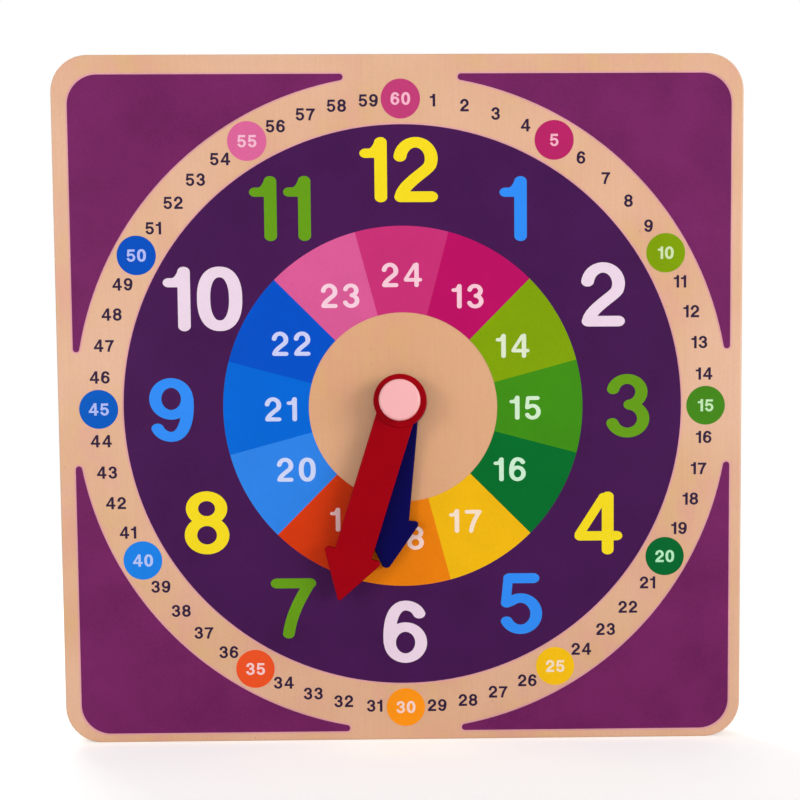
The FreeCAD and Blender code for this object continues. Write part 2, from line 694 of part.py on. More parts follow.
def make_minute_hand():
    body = make_hand("minute_hand", "dims.minute_barb_reach", "dims.minute_tip_reach",
                     "dims.minute_tip_radius", "dims.minute_rest_angle", MINUTE_HAND_BACK, BOSS_FRONT)
    square = new_sketch(body, "square_hole", MINUTE_HAND_BACK)
    add_regular_polygon(square, 4, "(dims.square_flats + 2 * dims.push_clearance)")
    pocket(body, square, "%s - %s" % (BOSS_FRONT, MINUTE_HAND_BACK))
    return body


def make_hour_hand():
    body = make_hand("hour_hand", "dims.hour_barb_reach", "dims.hour_tip_reach",
                     "dims.hour_tip_radius", "dims.hour_rest_angle", HOUR_HAND_BACK, HOUR_BOSS_FRONT)
    hole(body, "bush_hole", HAND_BUSH_SEAT, HOUR_HAND_BACK, HOUR_BOSS_FRONT)
    return body


def make_hand_nut():
    body = new_body("hand_nut")
    hexagon = new_sketch(body, "hexagon", BOSS_FRONT)
    add_regular_polygon(hexagon, 6, "dims.nut_flats")
    pad(body, hexagon, "dims.nut_thickness")
    hole(body, "nut_bore", THREAD_SEAT, BOSS_FRONT, NUT_FRONT)
    return body


def make_centre_cap():
    """A round cap that pushes over the corners of the nut."""
    body = new_body("centre_cap")
    cap_front = "(%s + dims.cap_height)" % BOSS_FRONT
    disc(body, "button", "dims.cap_diameter", BOSS_FRONT, cap_front)
    front = value(cap_front)
    round_edges(body, "button_edge", "dims.cap_edge_radius", lambda edge: lies_at(edge, front))
    hole(body, "nut_room", NUT_SEAT, BOSS_FRONT, "%s + dims.running_gap" % THREAD_FRONT)
    return body


def make_idler_washer():
    body = ring("idler_washer", "dims.idler_washer_diameter", STUD_SEAT,
                "dims.cover_thickness", "dims.cover_thickness + dims.idler_washer")
    body.setExpression("Placement.Base.z", "dims.centre_distance")
    return body


sub_parts = [
    make_dial_board(),
    make_centre_bush(),
    make_gear_cover(),
    make_cover_screws(),
    make_idler_stud(),
    make_idler_washer(),
    make_friction_spring(),
    ring("front_washer", "dims.front_washer_diameter", PIPE_FIT,
         BUSH_FRONT, "%s + dims.front_washer" % BUSH_FRONT),
    make_idler_gear(),
    make_hour_wheel(),
    ring("hour_washer", "dims.hour_washer_diameter", PIPE_SEAT,
         HOUR_WHEEL_FRONT, "%s + dims.hour_washer" % HOUR_WHEEL_FRONT),
    make_hour_hand(),
    ring("hour_hand_bush", HAND_BUSH, PIPE_FIT, HOUR_HAND_BACK, HOUR_BOSS_FRONT),
    make_minute_arbor(),
    make_minute_pinion(),
    ring("pinion_washer", "dims.pinion_washer_diameter", ARBOR_SEAT,
         WHEEL_FRONT, "%s + dims.pinion_washer" % WHEEL_FRONT),
    ring("hand_spacer", "dims.hand_spacer_diameter", ARBOR_SEAT, SPACER_BACK, MINUTE_HAND_BACK),
    make_minute_hand(),
    make_hand_nut(),
    make_centre_cap(),
]
doc.recompute()

for item in doc.Objects:
    if "Invalid" in item.State or "Error" in item.State:
        raise RuntimeError("%s failed: %s" % (item.Name, item.State))
for part in sub_parts:
    if part.Shape.isNull() or not part.Shape.isValid():
        raise RuntimeError("%s has no valid shape" % part.Label)

os.makedirs("parts", exist_ok=True)
for part in sub_parts:
    part.Shape.exportStep("parts/%s.step" % part.Label)
    print("%-16s %d solid(s), %9.1f mm3" % (part.Label, len(part.Shape.Solids), part.Shape.Volume))
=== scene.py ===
# %% [markdown]
# # A geared teaching clock
# A child turns the red minute hand, and a small train of gears in the board's back brings the blue hour hand
# along. The construction is already made and packed as a fixed frame of 20 nodes, each at its real place.
# This lesson dresses it: it prints the dial on the board and gives every piece the finish of its real
# material. Nothing of the frame is moved.

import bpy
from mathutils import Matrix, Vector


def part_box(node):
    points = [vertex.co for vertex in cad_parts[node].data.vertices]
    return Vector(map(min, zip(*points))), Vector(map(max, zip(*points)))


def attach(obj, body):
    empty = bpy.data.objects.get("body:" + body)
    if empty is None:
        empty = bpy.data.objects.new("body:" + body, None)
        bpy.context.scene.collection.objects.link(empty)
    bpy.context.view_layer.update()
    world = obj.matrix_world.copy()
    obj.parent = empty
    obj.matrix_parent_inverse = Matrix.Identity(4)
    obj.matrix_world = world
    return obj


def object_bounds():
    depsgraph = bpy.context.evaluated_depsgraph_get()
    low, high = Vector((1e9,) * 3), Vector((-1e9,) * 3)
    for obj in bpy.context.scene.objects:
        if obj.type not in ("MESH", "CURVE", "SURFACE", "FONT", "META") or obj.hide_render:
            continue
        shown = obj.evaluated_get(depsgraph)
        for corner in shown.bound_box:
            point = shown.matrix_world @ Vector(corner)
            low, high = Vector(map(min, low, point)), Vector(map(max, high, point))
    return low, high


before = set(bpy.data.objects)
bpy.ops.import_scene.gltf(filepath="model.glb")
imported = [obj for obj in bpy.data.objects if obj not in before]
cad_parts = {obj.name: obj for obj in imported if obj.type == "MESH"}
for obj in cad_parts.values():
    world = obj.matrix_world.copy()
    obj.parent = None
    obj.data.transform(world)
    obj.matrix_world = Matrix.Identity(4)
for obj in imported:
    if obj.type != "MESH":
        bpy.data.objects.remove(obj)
cad_low, cad_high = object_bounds()
cad_size = [round(high - low, 3) for low, high in zip(cad_low, cad_high)]
print("frame of", len(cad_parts), "nodes,", cad_size, "metres in size")

# %% [markdown]
# Blender works in metres here, and a maker thinks in millimetres. One value turns one into the other, and
# the places that the dial needs are read from the frame: the face of the board, and the floor that the
# board stands on. The hands turn about the Y axis through the origin, so the dial lies in the XZ plane.

# %% Millimetres, and what the frame gives
import math

import bpy
from mathutils import Matrix, Vector
from mathutils.geometry import delaunay_2d_cdt

MM = 0.001
BOARD_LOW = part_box("dial_board")[0]
FACE_Y = BOARD_LOW.y
FLOOR_Z = BOARD_LOW.z
print("face of the board at y", round(FACE_Y / MM, 2), "mm, floor at z", round(FLOOR_Z / MM, 2), "mm")

# %% [markdown]
# ## Colour and nodes
# Paint and ink are written down in sRGB, the space of a screen, while a shader counts light, which is
# linear. One function turns a hex value into the linear colour that a socket wants. A second one adds a
# node, sets it up and links it, so that a material reads as a short list of what it is made of.

# %% Colour and node helpers
def linear(hex_colour):
    """The linear colour, with an alpha of 1, of an sRGB hex value such as "C8102E"."""
    shares = [int(hex_colour[i : i + 2], 16) / 255 for i in (0, 2, 4)]
    return (*(s / 12.92 if s <= 0.04045 else ((s + 0.055) / 1.055) ** 2.4 for s in shares), 1.0)


def add(tree, kind, wiring=None, **settings):
    """A new node. wiring maps an input to a value or to the socket that feeds it."""
    made = tree.nodes.new(kind)
    for name, value in settings.items():
        setattr(made, name, value)
    for socket, value in (wiring or {}).items():
        if isinstance(value, bpy.types.NodeSocket):
            tree.links.new(value, made.inputs[socket])
        else:
            made.inputs[socket].default_value = value
    return made


def blank(name, **sockets):
    """A material with one Principled shader. A keyword with _ for a space sets a socket of that shader."""
    material = bpy.data.materials.new(name)
    material.use_nodes = True
    shader = material.node_tree.nodes["Principled BSDF"]
    for socket, value in sockets.items():
        shader.inputs[socket.replace("_", " ")].default_value = value
    return material, material.node_tree, shader


def across(mm):
    """The scale of a texture whose pattern is that many millimetres across."""
    return 1 / (mm * MM)


print("mid grey 808080 is", round(linear("808080")[0], 3), "in linear light")

# %% [markdown]
# ## Camera
# The camera is held by hand about a forearm's length in front of the dial, a little below its middle, so
# it gets a close distance and three small tilts. Being close is what makes the red hand, which stands
# nearer to it, look a little larger beside the numbers.

# %% Camera
CAMERA_PLACE = Vector((13.97, -349.99, -21.61)) * MM
CAMERA_TILT_DOWN = 2.153
CAMERA_TURN = -0.484
CAMERA_ROLL = -0.421
LENS = 34.576
SHIFT = (-0.05, 0.10)


def turn(degrees, axis):
    return Matrix.Rotation(math.radians(degrees), 4, axis)


camera = bpy.data.objects.new("camera", bpy.data.cameras.new("camera"))
bpy.context.collection.objects.link(camera)
aim = turn(CAMERA_TURN, "Z") @ turn(90 - CAMERA_TILT_DOWN, "X") @ turn(CAMERA_ROLL, "Z")
camera.matrix_world = Matrix.Translation(CAMERA_PLACE) @ aim
camera.data.lens = LENS
camera.data.shift_x, camera.data.shift_y = SHIFT
camera.data.clip_start = 10 * MM
bpy.context.scene.camera = camera
print("camera looks along", tuple(round(v, 4) for v in -aim.col[2].to_3d()))

# %% [markdown]
# ## Light
# A large softbox on the right gives the hands a soft shadow on their left, a weaker one on the left opens
# it, and a third behind lights the movement when the clock is turned round. The world fills the rest.
# They are set so that a colour renders about as its hex value says. The world is white to the camera, to
# mirrors and through clear sheet, but only half as strong where it lights the clock.

# %% Lights and world
LAMPS = {
    # name: (place in metres, side in metres, watts)
    "key_light": ((2.0, -1.7, 0.35), 1.3, 36),
    "fill_light": ((-1.3, -1.5, 0.3), 0.6, 7),
    "back_light": ((-0.7, 1.0, 0.7), 0.8, 8.5),
}
SURROUND = 0.5


def softbox(name, place, side, watts):
    """A square area lamp that faces the middle of the dial."""
    lamp = bpy.data.objects.new(name, bpy.data.lights.new(name, "AREA"))
    lamp.data.size = side
    lamp.data.energy = watts
    lamp.location = place
    lamp.rotation_euler = (-Vector(place)).to_track_quat("-Z", "Y").to_euler()
    bpy.context.collection.objects.link(lamp)


for lamp_name, (place, side, watts) in LAMPS.items():
    softbox(lamp_name, place, side, watts)

world = bpy.data.worlds.new("studio")
world.use_nodes = True
bpy.context.scene.world = world
sky = world.node_tree
sky.nodes.clear()
seen = add(sky, "ShaderNodeLightPath")
dim = add(sky, "ShaderNodeBackground", {"Color": linear("FFFFFF"), "Strength": SURROUND})
white = add(sky, "ShaderNodeBackground", {"Color": linear("FFFFFF"), "Strength": 1.0})
shown = seen.outputs["Is Camera Ray"]
for kind_of_ray in ("Is Glossy Ray", "Is Transmission Ray"):
    either = add(sky, "ShaderNodeMath", {0: shown, 1: seen.outputs[kind_of_ray]}, operation="MAXIMUM")
    shown = either.outputs[0]
both = add(sky, "ShaderNodeMixShader", {"Fac": shown, 1: dim.outputs[0], 2: white.outputs[0]})
add(sky, "ShaderNodeOutputWorld", {"Surface": both.outputs[0]})
bpy.context.scene.view_settings.view_transform = "Standard"

# %% [markdown]
# ## Floor
# The floor is a plain sheet of pale paper. To the camera it glows a little, so that it is nearly white
# close by, where it still takes the board's shadow. Further out it fades into plain white, so that no
# horizon shows. Neither glow lights the clock.

# %% Floor
FLOOR_HALF = 4.0
POOL_NEAR = 0.30
POOL_FAR = 0.75
GLOW = 0.42

paper, tree, shader = blank("pale_paper", Base_Color=linear("F4F4F2"), Roughness=0.9)
place = add(tree, "ShaderNodeTexCoord")
far = add(tree, "ShaderNodeVectorMath", {0: place.outputs["Object"]}, operation="LENGTH")
reach = {"Value": far.outputs["Value"], "From Min": POOL_NEAR, "From Max": POOL_FAR}
fade = add(tree, "ShaderNodeMapRange", reach, interpolation_type="SMOOTHSTEP").outputs["Result"]
to_camera = add(tree, "ShaderNodeLightPath").outputs["Is Camera Ray"]
glow = add(tree, "ShaderNodeEmission", {"Strength": GLOW})
dark = add(tree, "ShaderNodeEmission", {"Strength": 0.0})
lit = add(tree, "ShaderNodeMixShader", {"Fac": to_camera, 1: dark.outputs[0], 2: glow.outputs[0]})
near = add(tree, "ShaderNodeAddShader", {0: shader.outputs[0], 1: lit.outputs[0]})
plain = add(tree, "ShaderNodeEmission", {"Strength": 1.0})
share = add(tree, "ShaderNodeMath", {0: fade, 1: to_camera}, operation="MULTIPLY").outputs[0]
whole = add(tree, "ShaderNodeMixShader", {"Fac": share, 1: near.outputs[0], 2: plain.outputs[0]})
tree.links.new(whole.outputs[0], tree.nodes["Material Output"].inputs["Surface"])

corners = [(x * FLOOR_HALF, y * FLOOR_HALF, 0) for x, y in ((-1, -1), (1, -1), (1, 1), (-1, 1))]
sheet = bpy.data.meshes.new("floor")
sheet.from_pydata(corners, [], [(0, 1, 2, 3)])
sheet.materials.append(paper)
floor = bpy.data.objects.new("floor", sheet)
floor.location.z = FLOOR_Z
bpy.context.collection.objects.link(floor)
print("floor laid at z", round(FLOOR_Z / MM, 1), "mm")

# %% [markdown]
# ## Flat shapes
# Every colour of the dial is a film of ink, so each is modelled as a thin solid on the board's face. A
# shape starts as simple outlines that may overlap. A constrained Delaunay triangulation joins them: it
# returns triangles and says which outlines each came from, and the ones from none are the holes. It wants
# outlines that run anticlockwise, so the others are turned round first.

# %% Join outlines
MERGE = 1e-6


def area(outline):
    """The area inside an outline, which is negative if it runs clockwise."""
    return sum(a[0] * b[1] - b[0] * a[1] for a, b in zip(outline, outline[1:] + outline[:1])) / 2


def joined(outlines):
    """Points and triangles of all the outlines together, with their holes left open."""
    corners, faces = [], []
    for outline in outlines:
        faces.append(list(range(len(corners), len(corners) + len(outline))))
        corners += [Vector(p) for p in (outline if area(outline) > 0 else outline[::-1])]
    points, _, triangles, _, _, owners = delaunay_2d_cdt(corners, [], faces, 1, MERGE)
    kept = []
    for triangle, owner in zip(triangles, owners):
        a, b, c = (points[i] for i in triangle)
        if owner:
            kept.append(tuple(triangle) if (b - a).cross(c - a) > 0 else tuple(reversed(triangle)))
    return points, kept


print("two squares joined at an edge make", len(joined([
    [(0, 0), (1, 0), (1, 1), (0, 1)],
    [(1, 0), (2, 0), (2, 1), (1, 1)],
])[1]), "triangles")

# %% [markdown]
# A real film of screen ink is about a fiftieth of a millimetre thick. Here it is a little more, so that
# inks on top of each other stay apart: level 1 lies on the wood, and each level lies one film higher. The
# film's underside is sunk a hair into what it lies on, so that no light creeps in below it.

# %% Raise a shape to a film of ink
INK = 0.03 * MM
SINK = 0.01 * MM


def film(name, patches, level, materials):
    """A piece of print. A patch is (points in mm, triangles, material number)."""
    top = FACE_Y - level * INK
    bottom = top + INK + SINK
    vertices, faces, numbers = [], [], []
    for points, triangles, number in patches:
        first, count = len(vertices), len(points)
        vertices += [(x * MM, top, z * MM) for x, z in points]
        vertices += [(x * MM, bottom, z * MM) for x, z in points]
        sides = {(t[i], t[(i + 1) % 3]) for t in triangles for i in range(3)}
        rim = [(a, b) for a, b in sides if (b, a) not in sides]
        faces += [tuple(first + i for i in t) for t in triangles]
        faces += [tuple(first + count + i for i in reversed(t)) for t in triangles]
        faces += [(first + b, first + a, first + count + a, first + count + b) for a, b in sorted(rim)]
        numbers += [number] * (2 * len(triangles) + len(rim))
    mesh = bpy.data.meshes.new(name)
    mesh.from_pydata(vertices, [], faces)
    for material in materials:
        mesh.materials.append(material)
    mesh.polygons.foreach_set("material_index", numbers)
    mesh.validate()
    piece = bpy.data.objects.new(name, mesh)
    bpy.context.collection.objects.link(piece)
    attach(piece, "board")
    print(f"{name}: {len(mesh.polygons)} faces")
    return piece


print("a film is", round((INK + SINK) / MM, 2), "mm thick, of which", round(SINK / MM, 2), "mm are sunk")

# %% [markdown]
# ## Ink
# The dial is screen printed with opaque ink under a clear satin varnish. Ink goes on through a mesh and
# dries with a fine unevenness, so its colour wanders by a few percent over some centimetres and again from
# dot to dot. The varnish hides the wood's pores and gives one soft even shine.
#
# White over a strong colour is the exception: it is thin, and the colour under it tints it. Such a tint is
# pale even over a dark ink, so the hue below is first made as bright as two limits allow. Its strongest
# channel is UNDER_PEAK at most, and its lightness, weighed as the eye does, is UNDER_LIGHT at most.

# %% Ink material
INK_CLOUD = 22
INK_GRAIN = 0.9
INK_ROUGHNESS = 0.38
INK_GLOSS = 0.06
GRAIN_SHARE = 0.35
UNDER_PEAK = 0.88
UNDER_LIGHT = 0.55
EYE_WEIGHTS = Vector((0.2126, 0.7152, 0.0722))
# nearly all of a noise lies between these two values, which are spread to the range that is wanted
NOISE_RANGE = {"From Min": 0.3, "From Max": 0.7}


def ink(name, hex_colour, drift=0.10, under=None, cover=1.0):
    """Screen ink whose brightness wanders by the share drift. under is the hex colour that shows through."""
    seen = Vector(linear(hex_colour)[:3])
    if under:
        hue = Vector(linear(under)[:3])
        boost = min(UNDER_PEAK / max(hue), UNDER_LIGHT / hue.dot(EYE_WEIGHTS))
        seen = cover * seen + (1 - cover) * boost * hue
    material, tree, shader = blank(name, Roughness=INK_ROUGHNESS, Specular_IOR_Level=INK_GLOSS)
    spot = add(tree, "ShaderNodeTexCoord").outputs["Object"]
    cloud = add(tree, "ShaderNodeTexNoise", {"Vector": spot, "Scale": across(INK_CLOUD), "Detail": 2})
    grain = add(tree, "ShaderNodeTexNoise", {"Vector": spot, "Scale": across(INK_GRAIN), "Detail": 1})
    mixed = add(tree, "ShaderNodeMix", {0: GRAIN_SHARE, 2: cloud.outputs["Fac"], 3: grain.outputs["Fac"]})
    spread = {"Value": mixed.outputs[0], **NOISE_RANGE, "To Min": 1 - drift, "To Max": 1 + drift}
    gain = add(tree, "ShaderNodeMapRange", spread).outputs["Result"]
    colour = add(tree, "ShaderNodeVectorMath", {0: seen, 1: gain}, operation="MULTIPLY")
    tree.links.new(colour.outputs["Vector"], shader.inputs["Base Color"])
    return material


print("ink of roughness", INK_ROUGHNESS, "whose colour wanders over", INK_CLOUD, "mm and", INK_GRAIN, "mm")

# %% [markdown]
# ## Dial
# The print is laid out from one centre. It sits a touch low and to the right on the board, because a print
# is never registered perfectly. From the middle out: a bare wooden disc, twelve coloured segments, the dark
# disc of the hours, the bare minute ring with a coloured dot at each fifth minute, and purple in the four
# corners. An hour's direction is counted clockwise from the top, like on any clock.

# %% Dial sizes, in millimetres
PRINT_CENTRE = (0.9, -2.3)
SEGMENT_INNER = 41.3
SEGMENT_OUTER = 78.7
HOUR_OUTER = 122.1
MINUTE_LINE = 133.0
MINUTE_OUTER = 143.2
CORNER_HALF = 143.6
CORNER_ROUND = 13.0
TIP_ROUND = 1.4
DOT_RADIUS = 8.5
UNDERCOAT = 0.7
UNDERLAP = 1.0
HOUR_ANGLE = 30


def around(centre, radius, start, end, step=2.0):
    """Points on a circle from start to end, in degrees anticlockwise from the right."""
    count = max(1, round(abs(end - start) / step))
    angles = [math.radians(start + (end - start) * i / count) for i in range(count + 1)]
    return [(centre[0] + radius * math.cos(a), centre[1] + radius * math.sin(a)) for a in angles]


def band(inner, outer, start, end):
    """The outline of a stretch of a ring about the print's centre."""
    return around(PRINT_CENTRE, inner, start, end) + around(PRINT_CENTRE, outer, end, start)


def disc(centre, radius):
    return around(centre, radius, 0, 360, step=6)[:-1]


def clock_angle(hour):
    """The direction of an hour, in degrees anticlockwise from the right."""
    return 90 - HOUR_ANGLE * hour


def clock_place(radius, hour, nudge=(0, 0)):
    """Where an hour of the dial lies, that far from the print's centre, moved by the nudge."""
    angle = math.radians(clock_angle(hour))
    return (
        PRINT_CENTRE[0] + radius * math.cos(angle) + nudge[0],
        PRINT_CENTRE[1] + radius * math.sin(angle) + nudge[1],
    )


print("the 3 lies at", tuple(round(v, 1) for v in clock_place(MINUTE_LINE, 3)), "mm on the minutes' line")

# %% [markdown]
# Each corner print is the square's rounded corner with the minute ring cut out of it. The two arcs meet
# near the middle of a side in a thin tip, which is rounded by a small circle that touches both: inside the
# square's edge, and outside the ring. A corner is drawn once, and its three neighbours are the same
# outline turned by a quarter.

# %% Corner outlines
def corner(grow=0.0):
    """The print of the upper right corner about (0, 0). grow widens it all round."""
    half, ring, tip = CORNER_HALF + grow, MINUTE_OUTER - grow, TIP_ROUND + grow
    tip_x = math.sqrt((ring + tip) ** 2 - (half - tip) ** 2)
    turned = math.degrees(math.atan2(half - tip, tip_x))
    bend = half - CORNER_ROUND
    upper = around((tip_x, half - tip), tip, turned + 180, 90, step=15)
    edge = around((bend, bend), CORNER_ROUND, 90, 0, step=5)
    lower = around((half - tip, tip_x), tip, 0, -90 - turned, step=15)
    return upper + edge + lower + around((0, 0), ring, 90 - turned, turned)[1:-1]


def quarter_turns(outline):
    """The outline at all four corners of the dial."""
    turned = []
    for _ in range(4):
        turned.append([(PRINT_CENTRE[0] + x, PRINT_CENTRE[1] + z) for x, z in outline])
        outline = [(-z, x) for x, z in outline]
    return turned


def ring(inner, outer):
    """A closed ring, in four stretches that share their ends."""
    return [band(inner, outer, 90 * i, 90 * (i + 1)) for i in range(4)]


print("a corner print has", len(corner()), "points")

# %% [markdown]
# The purple is printed over a slightly larger pink undercoat. Its edge shows as a thin pink line wherever
# the purple meets the wood. Undercoat and hour disc both end a millimetre under the segments, which cover
# their inner edge.

# %% Print the undercoat, the corners and the hour disc
hidden_edge = SEGMENT_INNER + UNDERLAP
undercoat_outlines = quarter_turns(corner(UNDERCOAT)) + ring(hidden_edge, HOUR_OUTER + UNDERCOAT)
film("undercoat", [(*joined(undercoat_outlines), 0)], 1, [ink("pink_undercoat", "E0A0A4")])
film("corner_prints", [(*joined(quarter_turns(corner())), 0)], 2, [ink("plum_ink", "72235E", drift=0.16)])
hour_disc_ink = ink("dark_purple_ink", "44174F", drift=0.12)
film("hour_disc", [(*joined(ring(hidden_edge, HOUR_OUTER)), 0)], 2, [hour_disc_ink])

# %% [markdown]
# The second twelve hours, 13 to 24, stand in a ring of coloured segments. Each is centred on its hour, and
# three neighbours share a family of colour: green, yellow to red, blue, and pink.

# %% Print the segments and the minute dots
SEGMENT_COLOURS = {
    13: ("magenta_ink", "BA0C62"),
    14: ("lime_ink", "80A204"),
    15: ("leaf_green_ink", "3F8D14"),
    16: ("dark_green_ink", "006D2B"),
    17: ("yellow_ink", "F1B80E"),
    18: ("orange_ink", "EC800A"),
    19: ("red_orange_ink", "D63A0B"),
    20: ("sky_blue_ink", "2E83E8"),
    21: ("blue_ink", "0067D6"),
    22: ("deep_blue_ink", "0050C6"),
    23: ("pink_ink", "D85A95"),
    24: ("rose_ink", "C73075"),
}
segment_patches, segment_inks = [], []
for number, (hour, (ink_name, hex_colour)) in enumerate(SEGMENT_COLOURS.items()):
    middle = clock_angle(hour)
    outline = band(SEGMENT_INNER, SEGMENT_OUTER, middle - HOUR_ANGLE / 2, middle + HOUR_ANGLE / 2)
    segment_patches.append((*joined([outline]), number))
    segment_inks.append(ink(ink_name, hex_colour, drift=0.06))
film("hour_segments", segment_patches, 3, segment_inks)

DOT_COLOURS = {
    5: ("magenta_dot", "B82365"),
    10: ("lime_dot", "7FA002"),
    15: ("leaf_green_dot", "438517"),
    20: ("dark_green_dot", "00662D"),
    25: ("yellow_dot", "FAC314"),
    30: ("orange_dot", "FF9717"),
    35: ("red_orange_dot", "F05425"),
    40: ("sky_blue_dot", "1B81E7"),
    45: ("blue_dot", "005AC0"),
    50: ("deep_blue_dot", "004FBE"),
    55: ("pink_dot", "DE669B"),
    60: ("rose_dot", "C03C75"),
}
dot_patches, dot_inks = [], []
for number, (minute, (ink_name, hex_colour)) in enumerate(DOT_COLOURS.items()):
    dot = disc(clock_place(MINUTE_LINE, minute / 5), DOT_RADIUS)
    dot_patches.append((*joined([dot]), number))
    dot_inks.append(ink(ink_name, hex_colour, drift=0.05))
film("minute_dots", dot_patches, 1, dot_inks)

# %% [markdown]
# ## Numbers
# The figures are plain rounded ones, as a sign painter draws them: a brush with a rounded tip, pulled
# along a line. So each figure is written down as the brush's path, in units of its own height, with
# straight runs, arcs of ellipses and a few curves. Three helpers give the round ones.

# %% Round strokes
BOW_STEP = 10
OVAL_STEPS = 48


def bow(cx, cz, rx, rz, start, end):
    """Part of an ellipse, from start to end in degrees anticlockwise from the right."""
    count = max(2, round(abs(end - start) / BOW_STEP))
    angles = [math.radians(start + (end - start) * i / count) for i in range(count + 1)]
    return [(cx + rx * math.cos(a), cz + rz * math.sin(a)) for a in angles]


def curve(a, b, c, d, count=10):
    """A cubic curve from a to d that leaves towards b and arrives from c."""
    shares = [i / count for i in range(count + 1)]
    weights = [((1 - t) ** 3, 3 * t * (1 - t) ** 2, 3 * t * t * (1 - t), t**3) for t in shares]
    return [tuple(sum(w * p[k] for w, p in zip(row, (a, b, c, d))) for k in (0, 1)) for row in weights]


def oval(cx, cz, rx, rz, squareness=2.35):
    """A closed oval with sides a little straighter than an ellipse's."""
    made = []
    for i in range(OVAL_STEPS + 1):
        turned = math.radians(360 * i / OVAL_STEPS)
        c, s = math.cos(turned), math.sin(turned)
        reach = (abs(c) ** squareness + abs(s) ** squareness) ** (-1 / squareness)
        made.append((cx + rx * reach * c, cz + rz * reach * s))
    return made


print("a full bow has", len(bow(0, 0, 1, 1, 0, 360)), "points, and an oval", len(oval(0, 0, 1, 1)))

# %% [markdown]
# The tip is wider than it is high, which keeps bars thinner than stems. Next to each path stands how hard
# the brush is pressed. Next to each figure stands its share of the full height, because a 5 and a 7 with
# their flat tops are drawn a touch lower to look as high as the rest. A 9 is a 6 turned upside down.

# %% Brush paths of the ten figures
SIX = [
    (0.93, bow(0.356, 0.328, 0.248, 0.249, 0, 360)),
    (
        0.96,
        curve((0.104, 0.330), (0.085, 0.690), (0.180, 0.922), (0.358, 0.922))
        + bow(0.358, 0.712, 0.235, 0.210, 80, 22),
    ),
]
FIGURES = {
    "0": (1.0, [(1.02, oval(0.353, 0.5, 0.250, 0.417))]),
    "1": (
        1.0,
        [
            (0.95, [(0.330, 0.915), (0.330, 0.085)]),
            (0.86, [(0.095, 0.750), (0.330, 0.750)]),
            (0.80, curve((0.095, 0.750), (0.235, 0.747), (0.272, 0.812), (0.318, 0.910))),
        ],
    ),
    "2": (
        1.0,
        [
            (
                0.98,
                bow(0.350, 0.668, 0.243, 0.250, 172, -25)
                + curve((0.570, 0.562), (0.515, 0.468), (0.152, 0.280), (0.122, 0.095))[1:],
            ),
            (1.01, [(0.120, 0.086), (0.590, 0.086)]),
        ],
    ),
    "3": (
        1.0,
        [
            (0.95, bow(0.325, 0.719, 0.226, 0.203, 168, -80)),
            (0.95, bow(0.330, 0.297, 0.250, 0.220, 82, -162)),
        ],
    ),
    "4": (
        1.0,
        [
            (0.90, [(0.515, 0.915), (0.515, 0.085)]),
            (0.89, [(0.090, 0.303), (0.652, 0.303)]),
            (0.72, [(0.076, 0.332), (0.448, 0.908)]),
        ],
    ),
    "5": (
        0.975,
        [
            (1.00, [(0.168, 0.915), (0.550, 0.915)]),
            (0.76, [(0.148, 0.915), (0.108, 0.540)]),
            (0.94, [(0.122, 0.515)] + bow(0.345, 0.336, 0.255, 0.256, 125, -152)),
        ],
    ),
    "6": (1.0, SIX),
    "7": (
        0.96,
        [
            (1.00, [(0.095, 0.915), (0.628, 0.915)]),
            (0.94, curve((0.618, 0.905), (0.482, 0.690), (0.325, 0.420), (0.274, 0.088))),
        ],
    ),
    "8": (
        1.0,
        [
            (0.94, bow(0.358, 0.724, 0.229, 0.196, 0, 360)),
            (0.96, bow(0.358, 0.305, 0.253, 0.224, 0, 360)),
        ],
    ),
    "9": (1.0, [(press, [(0.714 - x, 1 - z) for x, z in path]) for press, path in SIX]),
}
print("brush paths for", "".join(FIGURES))

# %% [markdown]
# To turn a path into an outline, the brush is first made a plain circle by stretching the figure, then the
# path is offset by the brush's radius to both sides, and each open end gets a round cap, or a square one
# for the small bold figures of the minutes. Where the path turns, the offset reaches further out, to at most
# twice the radius. The outlines overlap where strokes cross, and the triangulation above joins them.

# %% From brush path to outline
SHARPEST = 0.5
CAP_STEP = 12


def stroke(path, radius, round_ends):
    """Outlines of a brush of that radius pulled along the path."""
    points = [Vector(p) for p in path]
    closed = (points[0] - points[-1]).length < MERGE
    steps = [(b - a).normalized() for a, b in zip(points, points[1:])]
    if not closed and not round_ends:
        points[0] = points[0] - steps[0] * radius
        points[-1] = points[-1] + steps[-1] * radius
    before = [steps[-1] if closed else steps[0]] + steps
    after = steps + [steps[0] if closed else steps[-1]]
    left, right = [], []
    for point, a, b in zip(points, before, after):
        side = Vector((-(a + b).y, (a + b).x)).normalized()
        reach = radius / max(SHARPEST, side.dot(Vector((-a.y, a.x))))
        left.append(point + side * reach)
        right.append(point - side * reach)
    made = [[left[i], right[i], right[i + 1], left[i + 1]] for i in range(len(points) - 1)]
    if round_ends and not closed:
        made += [around(p, radius, 0, 360, step=CAP_STEP)[:-1] for p in (points[0], points[-1])]
    return made


print("a short stroke with round ends makes", len(stroke([(0, 0), (1, 0)], 0.1, True)), "outlines")

# %% [markdown]
# A figure is scaled until it is exactly as high as it should be, and its left edge is moved to zero, so
# that figures can be set next to each other with an even gap. All ten are drawn once for each size, and a
# number is made of them around its middle.

# %% Set figures into numbers
def figure(character, height, pen, round_ends):
    """Points in mm from the figure's lower left, its triangles, and its width."""
    share, strokes = FIGURES[character]
    outlines = []
    for press, path in strokes:
        stretched = [(x / pen[0], z / pen[1]) for x, z in path]
        for outline in stroke(stretched, press / 2, round_ends):
            outlines.append([(p[0] * pen[0], p[1] * pen[1]) for p in outline])
    points, triangles = joined(outlines)
    used = [points[i] for t in triangles for i in t]
    left, right = min(p.x for p in used), max(p.x for p in used)
    low, high = min(p.y for p in used), max(p.y for p in used)
    scale = share * height / (high - low)
    return [((p.x - left) * scale, (p.y - low) * scale) for p in points], triangles, (right - left) * scale


